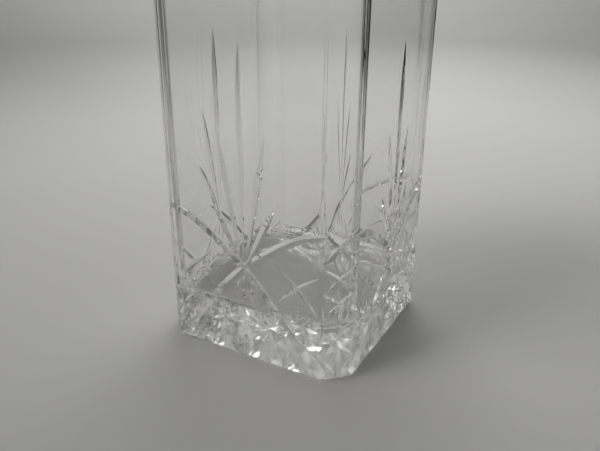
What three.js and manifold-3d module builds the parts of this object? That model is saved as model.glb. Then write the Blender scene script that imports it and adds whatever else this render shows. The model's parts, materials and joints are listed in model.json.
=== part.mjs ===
// Cut crystal vase: one solid piece of clear lead crystal.
// Square plan with canted corners, straight walls, a thick base, an open
// octagonal well with rounded inner corners, and wheel-cut V grooves.
// Millimetres, +Z up, origin at the centre of the underside.
import * as THREE from 'three';
import { mergeVertices } from 'three/addons/utils/BufferGeometryUtils.js';
import Module from 'manifold-3d';

// ---- driving dimensions (mm) ------------------------------------------------
const WIDTH = 88;            // across the flats, both ways
const HEIGHT = 200;          // foot to rim
const CORNER_LEG = 9.2;      // leg of each canted corner
const FOOT_BEVEL = 1.6;      // polished bevel round the foot
const RIM_ROUND = 1.3;       // fire-polished rounding of the rim
const WALL_RIM = 3.6;        // wall at the rim
const WALL_FOOT = 4.6;       // wall just above the well's floor
const BASE_THICK = 20.5;     // solid glass under the well
const FLOOR_ROUND = 5.5;     // radius where the well's wall meets its floor
const INNER_FILLET = 3.5;    // small radius either side of an inner corner
const INNER_ARC = 20;        // flatter arc across an inner corner
const INNER_TURN = 32;       // degrees turned by each small radius
const GROOVE_K = 1.45;       // groove half-width over depth (a 111 degree V)

// face pattern, (u, z) from the middle of a face
const CROSS_Z = 41.5;        // where the two long arcs cross
const ARC = [[-35.6, 3.4], [-29, 9.6], [-16.6, 23.4], [-8.9, 32.8], [0, CROSS_Z],
  [8, 48], [17, 54.4], [25.5, 59], [35.6, 62]];
const ARC_DEPTH = 1.5;
const RAYS = [               // [top u, top z, depth]
  [0, 127, 1.3], [10.2, 94.3, 1.05], [-10.2, 94.3, 1.05],
  [14.6, 70, 1.0], [-14.6, 70, 1.0],
];
const RAY_PEAK = 0.68;       // where along its length a ray is deepest
const SIDE_X = [             // short cuts that cross beside the arcs
  [[14.4, 48.2], [34.2, 26.6], 0.9], [[35.4, 46.4], [14.2, 29.2], 0.9],
];
const STARS = [              // [u, z, radius, depth] under and beside the arcs
  [10.9, 17.0, 7.6, 1.0], [26.6, 21.6, 6.6, 0.95],
];
const FOOT_FAN = [           // [foot u, tip u, tip z]: short cuts rising from the foot
  [17.6, 10.6, 4.4], [18, 17, 11.2], [18.4, 24.2, 6.6], [0, 0, 13.5], [0.6, 7.4, 6.6],
];
// corner pattern, (u, z) from the middle of a canted corner
const CORNER_RAY = [[0, 66], [0, 112], 0.9];
const CORNER_X = [[[-6.8, 64.5], [6.8, 50.5], 0.95], [[6.8, 64.5], [-6.8, 50.5], 0.95]];
// The corner between the back (face 2) and the left side (face 3) is plain
// above the foot: halves of faces, as 'face,side of u'.
const PLAIN = new Set(['2,1', '3,-1']);
const NO_SIDE_X = new Set(['2,1', '3,-1', '3,1']);

const wasm = await Module();
wasm.setup();

// ---- helpers ----------------------------------------------------------------
// A closed solid through a stack of equal-length rings of points.
function loft(rings) {
  const n = rings[0].length;
  const pos = [];
  for (const ring of rings) for (const p of ring) pos.push(p.x, p.y, p.z);
  const idx = [];
  for (let k = 0; k + 1 < rings.length; k++) {
    for (let i = 0; i < n; i++) {
      const j = (i + 1) % n;
      const a = k * n + i, b = k * n + j, c = (k + 1) * n + j, d = (k + 1) * n + i;
      idx.push(a, b, c, a, c, d);
    }
  }
  for (let i = 1; i + 1 < n; i++) {
    idx.push(0, i + 1, i);
    const t = (rings.length - 1) * n;
    idx.push(t, t + i, t + i + 1);
  }
  const g = new THREE.BufferGeometry();
  g.setAttribute('position', new THREE.Float32BufferAttribute(pos, 3));
  g.setIndex(idx);
  return g;
}

function toManifold(geometry) {
  let g = geometry.clone();
  g.deleteAttribute('normal');
  g.deleteAttribute('uv');
  g = mergeVertices(g, 1e-5);
  const p = g.attributes.position.array;
  const vertProperties = new Float32Array(p);
  const triVerts = new Uint32Array(g.index.array);
  const solid = new wasm.Manifold(new wasm.Mesh({ numProp: 3, vertProperties, triVerts }));
  if (solid.volume() < 0) throw new Error('solid is inside out');
  return solid;
}

function toGeometry(solid) {
  const m = solid.getMesh();
  const xyz = new Float32Array(m.numVert * 3);
  for (let i = 0; i < m.numVert; i++) {
    for (let k = 0; k < 3; k++) xyz[3 * i + k] = m.vertProperties[m.numProp * i + k];
  }
  const g = new THREE.BufferGeometry();
  g.setAttribute('position', new THREE.BufferAttribute(xyz, 3));
  g.setIndex(new THREE.BufferAttribute(new Uint32Array(m.triVerts), 1));
  g.computeVertexNormals();
  return g;
}

// Outer plan: a square with canted corners, drawn in by `inset`.
function outerRing(z, inset) {
  const h = WIDTH / 2 - inset;
  const f = WIDTH / 2 - CORNER_LEG - inset * Math.tan(Math.PI / 8);
  return [[f, -h], [h, -f], [h, f], [f, h], [-f, h], [-h, f], [-h, -f], [-f, -h]]
    .map(([x, y]) => new THREE.Vector3(x, y, z));
}

// Inner plan: flat sides, and each corner a small radius, a flatter arc and
// a small radius again. `inset` is the wall at the flats.
function innerRing(z, inset) {
  const h = WIDTH / 2 - inset;
  const rad = Math.PI / 180;
  const pts = [[0, 0]];
  let x = 0, y = 0;
  const arc = (r, a, b, n) => {
    for (let i = 0; i < n; i++) {
      const t0 = (a + (b - a) * i / n) * rad, t1 = (a + (b - a) * (i + 1) / n) * rad;
      x += r * (Math.sin(t1) - Math.sin(t0));
      y += r * (Math.cos(t0) - Math.cos(t1));
      pts.push([x, y]);
    }
  };
  arc(INNER_FILLET, 0, INNER_TURN, 3);
  arc(INNER_ARC, INNER_TURN, 90 - INNER_TURN, 4);
  arc(INNER_FILLET, 90 - INNER_TURN, 90, 3);
  const side = pts.map(([a, b]) => [a + h - x, b - h]);
  const ring = [];
  for (let k = 0; k < 4; k++) {
    const c = Math.round(Math.cos(k * Math.PI / 2)), s = Math.round(Math.sin(k * Math.PI / 2));
    for (const [a, b] of side) ring.push(new THREE.Vector3(c * a - s * b, s * a + c * b, z));
  }
  return ring;
}

// A frame on a wall: point(u, z, out) lies `out` beyond the surface.
function wallFrame(angle, distance) {
  const n = new THREE.Vector3(Math.cos(angle), Math.sin(angle), 0);
  const t = new THREE.Vector3(-n.y, n.x, 0);
  return {
    normal: n,
    at: (u, z, out = 0) => n.clone().multiplyScalar(distance + out)
      .addScaledVector(t, u).add(new THREE.Vector3(0, 0, z)),
    dir: (du, dz) => t.clone().multiplyScalar(du).add(new THREE.Vector3(0, 0, dz)),
  };
}
const FACES = [0, 1, 2, 3].map((k) => wallFrame(k * Math.PI / 2 - Math.PI / 2, WIDTH / 2));
const CORNERS = [0, 1, 2, 3].map((k) => wallFrame(k * Math.PI / 2 - Math.PI / 4,
  (WIDTH - CORNER_LEG) / Math.SQRT2));

// The wheel's cut: a V section swept along a path on a surface. Its depth
// follows depthAt(s), 0 to 1 along the path; below zero it leaves the glass.
function groove(frame, path, depthAt) {
  const lift = 0.35;
  const rings = path.map(([u, v], i) => {
    const s = i / (path.length - 1);
    const a = path[Math.max(i - 1, 0)], b = path[Math.min(i + 1, path.length - 1)];
    const along = frame.dir(b[0] - a[0], b[1] - a[1]).normalize();
    const side = along.clone().cross(frame.normal).normalize();
    const d = depthAt(s);
    const half = (d + lift) * GROOVE_K;
    const c = frame.at(u, v, lift);
    return [frame.at(u, v, -d), c.clone().addScaledVector(side, -half),
      c.clone().addScaledVector(side, half)];
  });
  return toManifold(loft(rings));
}

// Lens-shaped cut between two points: deepest at `peak` of its length.
function mitre(frame, from, to, depth, peak = 0.5, steps = 8) {
  const path = [], n = steps;
  for (let i = 0; i <= n; i++) {
    const s = i / n;
    path.push([from[0] + (to[0] - from[0]) * s, from[1] + (to[1] - from[1]) * s]);
  }
  return groove(frame, path, (s) => {
    const q = s < peak ? s / peak : (1 - s) / (1 - peak);
    return depth * Math.sin(q * Math.PI / 2) - 0.06 * (1 - q);
  });
}

// ---- the blank --------------------------------------------------------------
const outer = toManifold(loft([
  outerRing(0, FOOT_BEVEL),
  outerRing(FOOT_BEVEL, 0),
  outerRing(HEIGHT - RIM_ROUND, 0),
  outerRing(HEIGHT - RIM_ROUND * 0.45, RIM_ROUND * 0.2),
  outerRing(HEIGHT, RIM_ROUND),
]));

const wallAt = (z) => WALL_RIM + (WALL_FOOT - WALL_RIM)
  * Math.max(0, 1 - (z - BASE_THICK - FLOOR_ROUND) / 70) ** 1.5;
const wellRings = [];
for (let i = 0; i <= 4; i++) {
  const a = (i / 4) * Math.PI / 2;
  const z = BASE_THICK + FLOOR_ROUND * (1 - Math.cos(a));
  wellRings.push(innerRing(z, WALL_FOOT + FLOOR_ROUND * (1 - Math.sin(a))));
}
for (const z of [50, 75, 100, HEIGHT - RIM_ROUND]) wellRings.push(innerRing(z, wallAt(z)));
wellRings.push(innerRing(HEIGHT - RIM_ROUND * 0.45, WALL_RIM - RIM_ROUND * 0.2));
wellRings.push(innerRing(HEIGHT, WALL_RIM - RIM_ROUND));
wellRings.push(innerRing(HEIGHT + 1, WALL_RIM - RIM_ROUND));
const well = toManifold(loft(wellRings));

let body = outer.subtract(well);

// ---- the cutting ------------------------------------------------------------
const arcCurve = new THREE.SplineCurve(ARC.map(([u, z]) => new THREE.Vector2(u, z)));
const arcPath = arcCurve.getSpacedPoints(16).map((p) => [p.x, p.y]);
const mirrored = (path) => path.map(([u, z]) => [-u, z]);
const cuts = [];
FACES.forEach((face, i) => {
  for (const side of [1, -1]) {
    const path = side > 0 ? arcPath : mirrored(arcPath);
    // an arc's upper end is in the half of the face that `side` names
    const reach = PLAIN.has(`${i},${side}`) ? 9 : i === 3 ? 12 : path.length;
    cuts.push(groove(face, path.slice(0, reach), (s) => {
      const along = s * (Math.min(reach, path.length) - 1) / (path.length - 1);
      const depth = ARC_DEPTH * (0.75 + 0.5 * Math.exp(-(((along - 0.06) / 0.13) ** 2)));
      return reach < path.length ? depth * (1 - s ** 4) - 0.06 * s : depth;
    }));
  }
  for (const [u, z, d] of RAYS) {
    if (u !== 0 && i === 3 && u < 0) continue;
    if (Math.abs(u) > 12 && PLAIN.has(`${i},${Math.sign(u)}`)) continue;
    cuts.push(mitre(face, [u * 0.08, CROSS_Z + 1.5], [u, z], d, RAY_PEAK));
  }
  for (const side of [-1, 1]) {
    if (!NO_SIDE_X.has(`${i},${side}`)) {
      for (const [a, b, d] of SIDE_X) {
        cuts.push(mitre(face, [side * a[0], a[1]], [side * b[0], b[1]], d, 0.5, 5));
      }
    }
    for (const [u, z, r, d] of STARS) {
      for (let k = 0; k < 4; k++) {
        const a = (k + 0.5) * Math.PI / 4;
        const du = Math.cos(a) * r, dz = Math.sin(a) * r;
        cuts.push(mitre(face, [side * u - du, z - dz], [side * u + du, z + dz], d, 0.5, 4));
      }
    }
    for (const [foot, tip, z] of FOOT_FAN) {
      if (foot === 0 && side < 0) continue;
      cuts.push(mitre(face, [side * foot, -0.4], [side * tip, z], 0.9, 0.55, 4));
    }
  }
});
CORNERS.forEach((corner, i) => {
  if (i === 1 || i === 3) cuts.push(mitre(corner, ...CORNER_RAY, 0.6));
  if (i !== 2) for (const [a, b, d] of CORNER_X) cuts.push(mitre(corner, a, b, d, 0.5, 4));
  for (const side of [-1, 1]) {
    cuts.push(mitre(corner, [-7.2 * side, 10.5], [7.2 * side, 26], 1.0, 0.5, 4));
  }
});
for (const cut of cuts) body = body.subtract(cut);

// ---- the part ---------------------------------------------------------------
const crystal = new THREE.MeshStandardMaterial({
  color: 0xe6eae8, roughness: 0.03, metalness: 0, transparent: true, opacity: 0.35,
});
const vase = new THREE.Mesh(toGeometry(body), crystal);
vase.name = 'vase_body';

const part = new THREE.Group();
part.add(vase);
export default part;
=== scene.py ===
"""Cut crystal vase: the visual model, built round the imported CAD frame.

The glass is one closed body: a lofted outer form with canted corners, less
the well, less every wheel cut. Shapes are worked out in millimetres and put
into the row frame in metres.
"""

import json
import math

import bpy
import numpy as np
from mathutils import Matrix, Vector

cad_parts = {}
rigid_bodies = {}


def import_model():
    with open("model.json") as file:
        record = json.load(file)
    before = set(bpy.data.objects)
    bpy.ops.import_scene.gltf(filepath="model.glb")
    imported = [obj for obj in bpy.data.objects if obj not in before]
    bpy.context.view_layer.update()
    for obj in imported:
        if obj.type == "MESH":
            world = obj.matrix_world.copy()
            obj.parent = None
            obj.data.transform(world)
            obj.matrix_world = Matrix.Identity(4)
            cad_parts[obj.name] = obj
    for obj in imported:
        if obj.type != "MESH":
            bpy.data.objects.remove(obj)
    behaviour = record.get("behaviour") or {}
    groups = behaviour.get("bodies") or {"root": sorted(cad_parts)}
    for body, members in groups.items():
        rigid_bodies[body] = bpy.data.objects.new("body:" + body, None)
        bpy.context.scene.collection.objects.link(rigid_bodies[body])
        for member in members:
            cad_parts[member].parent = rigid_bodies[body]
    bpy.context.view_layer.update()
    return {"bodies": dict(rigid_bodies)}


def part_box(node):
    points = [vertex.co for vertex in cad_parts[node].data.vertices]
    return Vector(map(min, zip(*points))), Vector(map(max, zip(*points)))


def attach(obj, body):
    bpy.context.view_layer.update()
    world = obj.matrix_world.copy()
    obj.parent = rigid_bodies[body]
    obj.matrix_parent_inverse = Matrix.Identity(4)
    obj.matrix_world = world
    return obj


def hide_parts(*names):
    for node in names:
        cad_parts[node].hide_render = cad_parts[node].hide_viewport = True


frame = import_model()
scene = bpy.context.scene
MM = 0.001

# ---- camera: at the photograph's angle -----------------------------------------
cam_data = bpy.data.cameras.new("camera")
cam_data.sensor_fit = "HORIZONTAL"
cam_data.sensor_width = 36.0
cam_data.lens = 36.0
cam_data.clip_start, cam_data.clip_end = 0.01, 20.0
camera = bpy.data.objects.new("camera", cam_data)
scene.collection.objects.link(camera)
RIGHT = Vector((0.8736252135, 0.4865295588, 0.0082446837))
UP = Vector((-0.1911730137, 0.3275956449, 0.9252750792))
FORWARD = Vector((-0.4474727536, 0.8099197997, -0.3792071372))
PLACE = Vector((0.12100653517, -0.21796565894, 0.14621274781))
m = Matrix.Identity(4)
for row in range(3):
    m[row][0], m[row][1], m[row][2], m[row][3] = (
        RIGHT[row],
        UP[row],
        -FORWARD[row],
        PLACE[row],
    )
camera.matrix_world = m
scene.camera = camera

# ---- driving dimensions, as the CAD has them (mm) --------------------------------
LOW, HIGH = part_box("vase_body")
WIDTH = (HIGH.x - LOW.x) / MM
HEIGHT = (HIGH.z - LOW.z) / MM
CORNER_LEG = 9.2
FOOT_BEVEL = 1.6
RIM_ROUND = 1.3
WALL_RIM = 3.6
WALL_FOOT = 4.6
BASE_THICK = 20.5
FLOOR_ROUND = 5.5
INNER_FILLET = 3.5
INNER_ARC = 20.0
INNER_TURN = 32.0
GROOVE_K = 1.45
EDGE_ROUND = 2.4


def outer_ring(z, inset):
    """A square with canted corners and softly rounded edges between its sides."""
    h = WIDTH / 2 - inset
    f = WIDTH / 2 - CORNER_LEG - inset * math.tan(math.pi / 8)
    plan = [(f, -h), (h, -f), (h, f), (f, h), (-f, h), (-h, f), (-h, -f), (-f, -h)]
    pts = []
    for i, corner in enumerate(plan):
        before, after = plan[i - 1], plan[(i + 1) % 8]
        d0, d1 = (
            math.atan2(b[1] - a[1], b[0] - a[0])
            for a, b in ((before, corner), (corner, after))
        )
        turn = (d1 - d0 + math.pi) % (2 * math.pi) - math.pi
        back = EDGE_ROUND * math.tan(turn / 2)
        x = corner[0] - back * math.cos(d0) - EDGE_ROUND * math.sin(d0)
        y = corner[1] - back * math.sin(d0) + EDGE_ROUND * math.cos(d0)
        for k in range(7):
            a = d0 + turn * k / 6
            pts.append((x + EDGE_ROUND * math.sin(a), y - EDGE_ROUND * math.cos(a), z))
    return pts


def inner_ring(z, inset):
    h = WIDTH / 2 - inset
    pts, x, y = [(0.0, 0.0)], 0.0, 0.0

    def arc(r, a, b, n):
        nonlocal x, y
        for i in range(n):
            t0, t1 = (math.radians(a + (b - a) * k / n) for k in (i, i + 1))
            x += r * (math.sin(t1) - math.sin(t0))
            y += r * (math.cos(t0) - math.cos(t1))
            pts.append((x, y))

    arc(INNER_FILLET, 0, INNER_TURN, 8)
    arc(INNER_ARC, INNER_TURN, 90 - INNER_TURN, 8)
    arc(INNER_FILLET, 90 - INNER_TURN, 90, 8)
    side = [(a + h - x, b - h) for a, b in pts]
    ring = []
    for k in range(4):
        c, s = round(math.cos(k * math.pi / 2)), round(math.sin(k * math.pi / 2))
        ring += [(c * a - s * b, s * a + c * b, z) for a, b in side]
    return ring


def loft(rings):
    """Vertices and faces of a closed solid through rings of equal length."""
    n = len(rings[0])
    verts = [p for ring in rings for p in ring]
    faces = []
    for k in range(len(rings) - 1):
        for i in range(n):
            j = (i + 1) % n
            a, b, c, d = k * n + i, k * n + j, (k + 1) * n + j, (k + 1) * n + i
            faces += [(a, b, c), (a, c, d)]
    t = (len(rings) - 1) * n
    for i in range(1, n - 1):
        faces.append((0, i + 1, i))
        faces.append((t, t + i, t + i + 1))
    return verts, faces


def joined(solids):
    """Several solids that don't touch, as one mesh."""
    verts, faces = [], []
    for v, f in solids:
        at = len(verts)
        verts += [tuple(p) for p in v]
        faces += [tuple(i + at for i in face) for face in f]
    mesh = bpy.data.meshes.new("work")
    mesh.from_pydata(verts, [], faces)
    mesh.validate()
    mesh.update()
    return mesh


def subtract(mesh, cutter):
    """mesh less cutter, by Blender's manifold boolean."""
    a = bpy.data.objects.new("work_a", mesh)
    b = bpy.data.objects.new("work_b", cutter)
    for o in (a, b):
        scene.collection.objects.link(o)
    mod = a.modifiers.new("cut", "BOOLEAN")
    mod.operation, mod.solver, mod.object = "DIFFERENCE", "MANIFOLD", b
    bpy.context.view_layer.update()
    made = bpy.data.meshes.new_from_object(
        a.evaluated_get(bpy.context.evaluated_depsgraph_get())
    )
    for o in (a, b):
        bpy.data.objects.remove(o)
    bpy.data.meshes.remove(mesh)
    bpy.data.meshes.remove(cutter)
    if len(made.polygons) == 0:
        raise RuntimeError("a cut left nothing")
    return made


# ---- the wheel's cuts ------------------------------------------------------------
class Wall:
    """A flat to cut in: point(u, z, out) lies `out` beyond it."""

    def __init__(self, normal, across, up, origin):
        self.n, self.t, self.w, self.o = (
            np.array(v, float) for v in (normal, across, up, origin)
        )

    def at(self, u, z, out=0.0):
        return self.o + self.n * out + self.t * u + self.w * z

    def dir(self, du, dz):
        return self.t * du + self.w * dz


def upright(angle, distance):
    n = np.array((math.cos(angle), math.sin(angle), 0.0))
    return Wall(n, (-n[1], n[0], 0.0), (0, 0, 1), n * distance)


FACES = [upright(k * math.pi / 2 - math.pi / 2, WIDTH / 2) for k in range(4)]
CORNERS = [
    upright(k * math.pi / 2 - math.pi / 4, (WIDTH - CORNER_LEG) / math.sqrt(2))
    for k in range(4)
]


def groove(wall, path, depths, k=GROOVE_K, lift=0.35):
    rings = []
    for i, (u, z) in enumerate(path):
        a, b = path[max(i - 1, 0)], path[min(i + 1, len(path) - 1)]
        along = wall.dir(b[0] - a[0], b[1] - a[1])
        side = np.cross(along / np.linalg.norm(along), wall.n)
        d = depths[i]
        half = (d + lift) * k
        c = wall.at(u, z, lift)
        rings.append([wall.at(u, z, -d), c - side * half, c + side * half])
    return loft(rings)


def lens(wall, a, b, depth, peak=0.5, steps=14, k=GROOVE_K, bow=0.0):
    """A pointed-oval cut from a to b, deepest at `peak` of its length."""
    path, depths = [], []
    ux, uz = b[0] - a[0], b[1] - a[1]
    long = math.hypot(ux, uz)
    for i in range(steps + 1):
        s = i / steps
        off = bow * math.sin(math.pi * s)
        path.append((a[0] + ux * s - uz / long * off, a[1] + uz * s + ux / long * off))
        q = s / peak if s < peak else (1 - s) / (1 - peak)
        depths.append(depth * (1 - (1 - q) ** 2) - 0.05 * (1 - q))
    return groove(wall, path, depths, k)


def curve(points, n):
    """n + 1 points spaced evenly along a centripetal Catmull-Rom curve."""
    p = [np.array(q, float) for q in points]
    p = [2 * p[0] - p[1]] + p + [2 * p[-1] - p[-2]]
    dense = []
    for i in range(1, len(p) - 2):
        t = [0.0]
        for j in range(3):
            t.append(t[-1] + max(np.linalg.norm(p[i + j] - p[i - 1 + j]), 1e-9) ** 0.5)
        for s in np.linspace(t[1], t[2], 24, endpoint=False):
            a1 = (t[1] - s) / (t[1] - t[0]) * p[i - 1] + (s - t[0]) / (t[1] - t[0]) * p[i]
            a2 = (t[2] - s) / (t[2] - t[1]) * p[i] + (s - t[1]) / (t[2] - t[1]) * p[i + 1]
            a3 = (t[3] - s) / (t[3] - t[2]) * p[i + 1] + (s - t[2]) / (t[3] - t[2]) * p[i + 2]
            b1 = (t[2] - s) / (t[2] - t[0]) * a1 + (s - t[0]) / (t[2] - t[0]) * a2
            b2 = (t[3] - s) / (t[3] - t[1]) * a2 + (s - t[1]) / (t[3] - t[1]) * a3
            dense.append((t[2] - s) / (t[2] - t[1]) * b1 + (s - t[1]) / (t[2] - t[1]) * b2)
    dense.append(p[-2])
    dense = np.array(dense)
    run = np.concatenate([[0], np.cumsum(np.linalg.norm(np.diff(dense, axis=0), axis=1))])
    at = np.linspace(0, run[-1], n + 1)
    return [(float(np.interp(s, run, dense[:, 0])), float(np.interp(s, run, dense[:, 1]))) for s in at]


CROSS_Z = 41.5
ARC = [(-35.8, 3.2), (-29, 9.6), (-16.6, 23.4), (-8.9, 32.8), (0, CROSS_Z),
       (8, 48), (17, 54.4), (25.5, 59), (35.6, 62)]


def flip(points):
    return [(-u, z) for u, z in points]


def arc_cut(wall, mirror, stop=1.0):
    n = 44
    path = curve(ARC, n)
    depths = []
    for i in range(n + 1):
        s = i / n
        d = 1.12 + 0.85 * math.exp(-(((s - 0.06) / 0.13) ** 2))
        if s > 0.86:
            d *= 1 - 0.45 * ((s - 0.86) / 0.14) ** 2
        if stop < 1:
            d *= max(0.0, 1 - (s / stop) ** 4) ** 0.5
        depths.append(d - (0.06 if s >= stop else 0))
    last = next((i for i, s in enumerate(range(n + 1)) if s / n >= stop), n)
    path, depths = path[: last + 1], depths[: last + 1]
    return groove(wall, flip(path) if mirror else path, depths)


FRONT, RIGHT_SIDE, BACK, LEFT_SIDE = FACES
# The cutting leaves the corner between the back and the left side plain above
# the foot: +1 and -1 are the halves of a face towards larger and smaller u.
PLAIN = {(2, 1), (3, -1)}
LOW_ONLY = PLAIN | {(3, 1)}  # halves with no crossed cuts between the arcs and the edge


def each(walls, make):
    """The same cut on each of the walls, in one mesh."""
    return joined([make(w) for w in walls])


def both(make, everywhere=True):
    """A cut and its mirror image on each face; the two don't touch."""
    cuts.append(joined([make(w, s) for i, w in enumerate(FACES) for s in (-1, 1)
                        if everywhere or (i, s) not in LOW_ONLY]))


cuts = []
sides = (-1, 1)
for mirror in (False, True):
    reach = -1 if mirror else 1  # the half of the face that the arc's upper end is in
    cuts.append(joined([arc_cut(w, mirror, 0.52 if (i, reach) in PLAIN else 0.68 if i == 3 else 1.0)
                        for i, w in enumerate(FACES)]))

# fan of rays over the crossing
cuts.append(joined([lens(w, (0, 43.5), (0, 127), d, 0.74, 26, k)
                    for w, d, k in zip(FACES, (0.8, 1.3, 1.2, 1.25), (1.9, 1.6, 1.45, 1.4))]))
for s in sides:
    cuts.append(joined([lens(w, (0.9 * s, 43), (10.2 * s, 94.3), 1.35 if i == 1 else 1.05, 0.66, 20)
                        for i, w in enumerate(FACES) if (i, s) != (3, -1)]))
    cuts.append(joined([lens(w, (0.9 * s, 42.6), (14.6 * s, 70), 1.3 if i == 1 else 1.0, 0.62, 16)
                        for i, w in enumerate(FACES) if (i, s) not in PLAIN]))
# small fan under the crossing
cuts.append(each(FACES, lambda w: lens(w, (0, 39.5), (0, 27.5), 0.8, 0.55)))
both(lambda w, s: lens(w, (1.5 * s, 37.5), (4.9 * s, 27.2), 0.7, 0.55))
# crossed cuts outside the arcs
both(lambda w, s: lens(w, (13.2 * s, 47.5), (34.6 * s, 27.0), 0.62, 0.5, 14, GROOVE_K, 0.8 * s), False)
both(lambda w, s: lens(w, (35.4 * s, 46.6), (13.6 * s, 29.6), 0.62, 0.5, 14, GROOVE_K, -0.8 * s), False)
# stars either side of the middle, under the arcs: long mitres that cross, and
# short ones between them
for k in range(4):
    a = math.pi * k / 4 + math.pi / 8
    c, n = math.cos(a), math.sin(a)
    far = (9.4, 7.8, 8.8, 8.2)[k]
    both(lambda w, s: lens(w, (s * (10.9 - far * c), 17.2 - far * n * 0.94),
                           (s * (10.9 + far * c), 17.2 + far * n * 0.94), 1.05, 0.5, 12, 1.3))
for k in range(8):
    a = math.pi * 2 * k / 8
    c, n = math.cos(a), math.sin(a)
    both(lambda w, s: lens(w, (s * (10.9 + 4.6 * c), 17.2 + 4.6 * n),
                           (s * (10.9 + 9.8 * c), 17.2 + 9.8 * n), 0.75, 0.5, 8, 1.3))
# fans that stand on the foot
for tip in ((10.6, 4.4), (13.2, 8.6), (17.0, 11.2), (21.0, 10.2), (24.2, 6.6), (26.0, 2.8)):
    both(lambda w, s: lens(w, (s * (18.0 + 0.03 * (tip[0] - 18.0)), -0.4),
                           (s * tip[0], tip[1]), 1.25, 0.55, 8, 1.35))
cuts.append(each(FACES, lambda w: lens(w, (0, -0.4), (0, 13.5), 1.3, 0.6, 10, 1.35)))
both(lambda w, s: lens(w, (0.3 * s, -0.4), (3.9 * s, 10.6), 1.2, 0.6, 10, 1.3))
both(lambda w, s: lens(w, (0.6 * s, -0.4), (7.4 * s, 6.6), 1.2, 0.6, 10, 1.3))
# stars by the corners; where the corner is plain only their lower halves are cut
for k in range(4):
    a = math.pi * k / 4
    c, n = math.cos(a), math.sin(a)
    far = (8.2, 7.4, 8.6, 7.4)[k]
    whole = [s_i for s_i in ((i, s) for i in range(4) for s in sides)
             if s_i not in LOW_ONLY or n < 0.1]
    cuts.append(joined([lens(FACES[i], (s * (26.8 - far * c), 22.4 - far * n),
                             (s * (26.8 + (far * c if (i, s) in whole else 0)),
                              22.4 + (far * n if (i, s) in whole else 0)), 1.0, 0.5, 12, 1.3)
                        for i in range(4) for s in sides]))
for k in range(8):
    a = math.pi * 2 * k / 8 + math.pi / 8
    c, n = math.cos(a), math.sin(a)
    both(lambda w, s: lens(w, (s * (26.8 + 4.4 * c), 22.4 + 4.4 * n),
                           (s * (26.8 + 8.6 * c), 22.4 + 8.6 * n), 0.7, 0.5, 8, 1.3), n < 0)
both(lambda w, s: lens(w, (s * 34.8, 37.5), (s * 33.4, 14.0), 1.0, 0.5, 10), False)
# short cuts from the corner edge, beside the lower ends of the arcs
both(lambda w, s: lens(w, (s * 35.8, 16.5), (s * 25.6, 13.6), 1.15, 0.4, 8, 1.3))
both(lambda w, s: lens(w, (s * 35.8, -0.4), (s * 25.6, 7.4), 1.15, 0.45, 8, 1.3))
both(lambda w, s: lens(w, (s * 31.6, -0.4), (s * 30.0, 8.2), 1.1, 0.4, 8, 1.3))
both(lambda w, s: lens(w, (s * 27.4, -0.3), (s * 24.6, 5.4), 1.0, 0.4, 8, 1.3))
both(lambda w, s: lens(w, (s * 35.6, 9.0), (s * 31.4, 15.6), 0.8, 0.4, 8, 1.2))
both(lambda w, s: lens(w, (s * 35.4, 22.5), (s * 30.8, 12.6), 0.75, 0.5, 8, 1.2))
both(lambda w, s: lens(w, (s * 23.6, 12.4), (s * 28.0, 5.2), 0.8, 0.5, 8, 1.2))
both(lambda w, s: lens(w, (s * 20.0, 24.0), (s * 19.2, 14.8), 0.75, 0.5, 8, 1.2))
# corners: the crossing where the arcs meet, a lattice, a star and a fan by the foot
cut_corners = [w for i, w in enumerate(CORNERS) if i != 2]
cuts.append(each([CORNERS[1], CORNERS[3]], lambda w: lens(w, (0, 65), (0, 111), 0.95, 0.6, 16)))
for s in sides:
    cuts.append(each(cut_corners, lambda w: lens(w, (-7.0 * s, 65.0), (7.0 * s, 50.0), 1.15, 0.5, 10)))
    cuts.append(each(cut_corners, lambda w: lens(w, (-7.0 * s, 50.0), (7.0 * s, 37.5), 1.0, 0.5, 10)))
    cuts.append(each(cut_corners, lambda w: lens(w, (-7.0 * s, 39.5), (7.0 * s, 27.5), 1.0, 0.5, 10)))
    cuts.append(each(CORNERS, lambda w: lens(w, (-7.2 * s, 10.5), (7.2 * s, 26.0), 1.25, 0.5, 10, 1.35)))
    cuts.append(each(CORNERS, lambda w: lens(w, (-0.3 * s, -0.4), (-5.8 * s, 9.8), 1.15, 0.6, 8, 1.3)))
cuts.append(each(CORNERS, lambda w: lens(w, (-6.8, 18.4), (6.8, 18.4), 1.15, 0.5, 8, 1.3)))
cuts.append(each(cut_corners, lambda w: lens(w, (0, 19.5), (0, 34.5), 1.0, 0.5, 8, 1.3)))
cuts.append(each(CORNERS, lambda w: lens(w, (0, -0.4), (0, 17.0), 1.2, 0.5, 8, 1.3)))

# ---- the blank -------------------------------------------------------------------
rings = [outer_ring(0, FOOT_BEVEL), outer_ring(FOOT_BEVEL, 0)]
STEPS = 8
for i in range(STEPS + 1):
    a = i / STEPS * math.pi / 2
    rings.append(outer_ring(HEIGHT - RIM_ROUND * (1 - math.sin(a)), RIM_ROUND * (1 - math.cos(a))))
body = joined([loft(rings)])


def wall_at(z):
    return WALL_RIM + (WALL_FOOT - WALL_RIM) * max(0.0, 1 - (z - BASE_THICK - FLOOR_ROUND) / 70) ** 1.5


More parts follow.
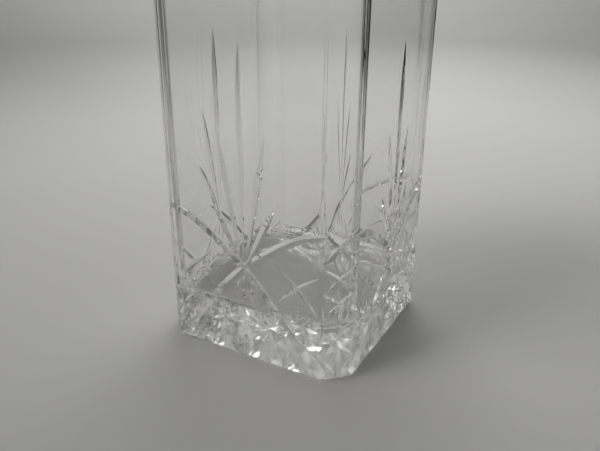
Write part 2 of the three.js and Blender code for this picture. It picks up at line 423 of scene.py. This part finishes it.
rings = []
for i in range(11):
    a = i / 10 * math.pi / 2
    rings.append(inner_ring(BASE_THICK + FLOOR_ROUND * (1 - math.cos(a)), WALL_FOOT + FLOOR_ROUND * (1 - math.sin(a))))
for z in (32, 38, 44, 50, 56, 62, 68, 75, 85, 97, 140, HEIGHT - RIM_ROUND):
    rings.append(inner_ring(z, wall_at(z)))
for i in range(1, STEPS + 1):
    a = i / STEPS * math.pi / 2
    rings.append(inner_ring(HEIGHT - RIM_ROUND * (1 - math.sin(a)), WALL_RIM - RIM_ROUND * (1 - math.cos(a))))
rings.append(inner_ring(HEIGHT + 1, WALL_RIM - RIM_ROUND))
body = subtract(body, joined([loft(rings)]))
for cut in cuts:
    body = subtract(body, cut)


def finish_mesh(mesh):
    """Triangles in metres, with normals smooth inside each surface and sharp between surfaces."""
    import bmesh

    bm = bmesh.new()
    bm.from_mesh(mesh)
    bmesh.ops.remove_doubles(bm, verts=bm.verts, dist=2e-4)
    bmesh.ops.dissolve_degenerate(bm, edges=bm.edges, dist=2e-4)
    bmesh.ops.triangulate(bm, faces=bm.faces)
    open_edges = sum(1 for e in bm.edges if len(e.link_faces) != 2)
    volume = bm.calc_volume(signed=True)
    print("glass: faces", len(bm.faces), "open edges", open_edges, "volume mm3", round(volume, 1))
    for v in bm.verts:
        v.co *= MM
    bm.to_mesh(mesh)
    bm.free()
    mesh.validate()
    mesh.update()
    nf = len(mesh.polygons)
    tri = np.empty(nf * 3, np.int32)
    mesh.polygons.foreach_get("vertices", tri)
    tri = tri.reshape(-1, 3)
    co = np.empty(len(mesh.vertices) * 3)
    mesh.vertices.foreach_get("co", co)
    co = co.reshape(-1, 3)
    cross = np.cross(co[tri[:, 1]] - co[tri[:, 0]], co[tri[:, 2]] - co[tri[:, 0]])
    size = np.linalg.norm(cross, axis=1)
    unit = cross / np.maximum(size, 1e-20)[:, None]
    around = [[] for _ in range(len(mesh.vertices))]
    for f in range(nf):
        for v in tri[f]:
            around[v].append(f)
    limit = math.cos(math.radians(19))
    normals = np.zeros((nf * 3, 3))
    for v, fs in enumerate(around):
        fs = np.array(fs)
        near = (unit[fs] @ unit[fs].T) > limit
        np.fill_diagonal(near, True)
        sums = near @ cross[fs]
        for row, f in enumerate(fs):
            corner = int(np.nonzero(tri[f] == v)[0][0])
            normals[f * 3 + corner] = sums[row]
    length = np.linalg.norm(normals, axis=1)
    weak = length < 1e-14
    normals[weak] = np.repeat(unit, 3, axis=0)[weak]
    length[weak] = 1
    normals /= length[:, None]
    mesh.polygons.foreach_set("use_smooth", np.ones(nf, bool))
    mesh.normals_split_custom_set([tuple(n) for n in normals])
    mesh.update()
    return mesh


body = finish_mesh(body)
body.name = "vase_glass"
vase = bpy.data.objects.new("vase_glass", body)
scene.collection.objects.link(vase)

# ---- crystal ---------------------------------------------------------------------


def node(tree, kind, **values):
    n = tree.nodes.new(kind)
    for key, value in values.items():
        setattr(n, key, value)
    return n


def crystal():
    mat = bpy.data.materials.new("crystal")
    mat.use_nodes = True
    t = mat.node_tree
    t.nodes.clear()
    out = node(t, "ShaderNodeOutputMaterial")
    glass = node(t, "ShaderNodeBsdfPrincipled")
    glass.distribution = "MULTI_GGX"
    glass.inputs["Transmission Weight"].default_value = 1.0
    glass.inputs["IOR"].default_value = 1.545
    where = node(t, "ShaderNodeTexCoord")
    link = t.links.new

    def noise(scale, detail, rough=0.5, distort=0.0):
        n = node(t, "ShaderNodeTexNoise")
        n.inputs["Scale"].default_value = scale
        n.inputs["Detail"].default_value = detail
        n.inputs["Roughness"].default_value = rough
        n.inputs["Distortion"].default_value = distort
        link(where.outputs["Object"], n.inputs["Vector"])
        return n

    def span(socket, a, b, c, d):
        r = node(t, "ShaderNodeMapRange", clamp=True)
        for i, v in zip(range(1, 5), (a, b, c, d)):
            r.inputs[i].default_value = v
        link(socket, r.inputs[0])
        return r.outputs[0]

    def maths(op, a, b):
        n = node(t, "ShaderNodeMath", operation=op)
        for i, v in enumerate((a, b)):
            if isinstance(v, (int, float)):
                n.inputs[i].default_value = v
            else:
                link(v, n.inputs[i])
        return n.outputs[0]

    # faint handling marks: soft patches, and finer streaks inside them
    patch = span(noise(38, 3, 0.55, 0.4).outputs["Fac"], 0.52, 0.72, 0.0, 1.0)
    streak = span(noise(420, 4, 0.65, 1.2).outputs["Fac"], 0.45, 0.75, 0.0, 1.0)
    marks = maths("MULTIPLY", patch, streak)
    # the ring that stands on the table is finely scuffed
    split = node(t, "ShaderNodeSeparateXYZ")
    link(where.outputs["Object"], split.inputs[0])
    foot = span(split.outputs["Z"], 0.00005, 0.0006, 1.0, 0.0)
    scuff = maths("MULTIPLY", foot, span(noise(900, 5, 0.7, 2.0).outputs["Fac"], 0.40, 0.62, 0.25, 1.0))
    rough = maths("ADD", maths("MULTIPLY", marks, 0.035), maths("MULTIPLY", scuff, 0.22))
    link(rough, glass.inputs["Roughness"])
    # colourless, a touch greyer where it is marked
    ramp = node(t, "ShaderNodeMix", data_type="RGBA")
    ramp.inputs["A"].default_value = (0.993, 0.993, 0.989, 1)
    ramp.inputs["B"].default_value = (0.958, 0.959, 0.953, 1)
    link(marks, ramp.inputs["Factor"])
    link(ramp.outputs["Result"], glass.inputs["Base Color"])
    # the slow wave that polishing leaves, and a fine ripple
    wave = noise(55, 1, 0.4)
    ripple = noise(240, 2, 0.5)
    height = maths("ADD", wave.outputs["Fac"], maths("MULTIPLY", ripple.outputs["Fac"], 0.06))
    bump = node(t, "ShaderNodeBump")
    bump.inputs["Strength"].default_value = 1.0
    bump.inputs["Distance"].default_value = 0.00006
    link(height, bump.inputs["Height"])
    link(bump.outputs["Normal"], glass.inputs["Normal"])
    link(glass.outputs[0], out.inputs["Surface"])
    return mat


vase.data.materials.clear()
vase.data.materials.append(crystal())
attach(vase, "root" if "root" in frame["bodies"] else sorted(frame["bodies"])[0])
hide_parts("vase_body")

# ---- the sweep of pale paper it stands on ----------------------------------------
profile = [(0.0, 0.0), (0.12, 0.0), (0.3, 0.0), (0.6, 0.0), (1.0, 0.0), (1.4, 0.0)]
for i in range(1, 15):
    a = i / 14 * math.pi / 2
    profile.append((1.4 + 0.9 * math.sin(a), 0.9 * (1 - math.cos(a))))
profile += [(2.3, 1.3), (2.3, 1.8)]
AROUND = 96
verts, faces = [(0.0, 0.0, 0.0)], []
for r, z in profile[1:]:
    for i in range(AROUND):
        a = 2 * math.pi * i / AROUND
        verts.append((r * math.cos(a), r * math.sin(a), z))
for i in range(AROUND):
    faces.append((0, 1 + i, 1 + (i + 1) % AROUND))
for k in range(len(profile) - 2):
    for i in range(AROUND):
        j = (i + 1) % AROUND
        a, b = 1 + k * AROUND + i, 1 + k * AROUND + j
        faces.append((a, a + AROUND, b + AROUND, b))
sweep_mesh = bpy.data.meshes.new("sweep")
sweep_mesh.from_pydata(verts, [], faces)
sweep_mesh.update()
sweep_mesh.polygons.foreach_set("use_smooth", [True] * len(sweep_mesh.polygons))
sweep = bpy.data.objects.new("sweep", sweep_mesh)
sweep.location.z = LOW.z - 0.00005
scene.collection.objects.link(sweep)

paper = bpy.data.materials.new("paper")
paper.use_nodes = True
t = paper.node_tree
matt = t.nodes["Principled BSDF"]
matt.inputs["Roughness"].default_value = 0.9
matt.inputs["Specular IOR Level"].default_value = 0.15
where = node(t, "ShaderNodeTexCoord")
cloud = node(t, "ShaderNodeTexNoise")
cloud.inputs["Scale"].default_value = 3.2
cloud.inputs["Detail"].default_value = 3
t.links.new(where.outputs["Object"], cloud.inputs["Vector"])
tint = node(t, "ShaderNodeMix", data_type="RGBA")
tint.inputs["A"].default_value = (0.62, 0.61, 0.59, 1)
tint.inputs["B"].default_value = (0.66, 0.655, 0.64, 1)
t.links.new(cloud.outputs["Fac"], tint.inputs["Factor"])
t.links.new(tint.outputs["Result"], matt.inputs["Base Color"])
sweep_mesh.materials.append(paper)


# ---- soft studio light -----------------------------------------------------------
def softbox(name, place, target, size, power, colour=(1, 1, 1), spread=180):
    data = bpy.data.lights.new(name, "AREA")
    data.shape = "RECTANGLE"
    data.size, data.size_y = size
    data.energy = power
    data.color = colour
    data.spread = math.radians(spread)
    lamp = bpy.data.objects.new(name, data)
    lamp.location = place
    lamp.rotation_mode = "QUATERNION"
    lamp.rotation_quaternion = (Vector(target) - Vector(place)).to_track_quat("-Z", "Y")
    scene.collection.objects.link(lamp)
    return lamp


softbox("key", (-0.50, -0.55, 0.95), (0.10, 0.50, 0.0), (0.6, 0.6), 0.9, (1.0, 0.99, 0.97), 62)
softbox("pool", (-0.24, 0.58, 1.25), (-0.22, 0.56, 0.0), (0.6, 0.6), 1.95, (0.99, 1.0, 1.0), 78)
softbox("wash", (-0.30, 0.60, 1.50), (-1.10, 2.0, 0.45), (1.1, 1.1), 8.0, (0.99, 1.0, 1.0), 100)
softbox("fill", (0.45, -0.55, 1.60), (1.25, -1.9, 0.5), (1.1, 1.1), 3.2, (0.99, 1.0, 1.0), 110)
softbox("left", (-0.55, -0.35, 1.60), (-1.9, -0.9, 0.5), (1.1, 1.1), 2.0, (0.99, 1.0, 1.0), 110)
softbox("over", (0.0, 0.2, 2.4), (0.0, 0.1, 0.0), (1.5, 1.5), 2.2, (1.0, 1.0, 1.0), 180)

world = bpy.data.worlds.new("room")
scene.world = world
world.use_nodes = True
back = world.node_tree.nodes["Background"]
back.inputs["Color"].default_value = (0.93, 0.97, 1.0, 1)
back.inputs["Strength"].default_value = 0.12

scene.view_settings.view_transform = "Standard"
scene.view_settings.look = "None"
scene.cycles.max_bounces = 28
scene.cycles.transmission_bounces = 28
scene.cycles.glossy_bounces = 16
scene.cycles.diffuse_bounces = 4
scene.cycles.use_denoising = True
scene.cycles.blur_glossy = 0.3
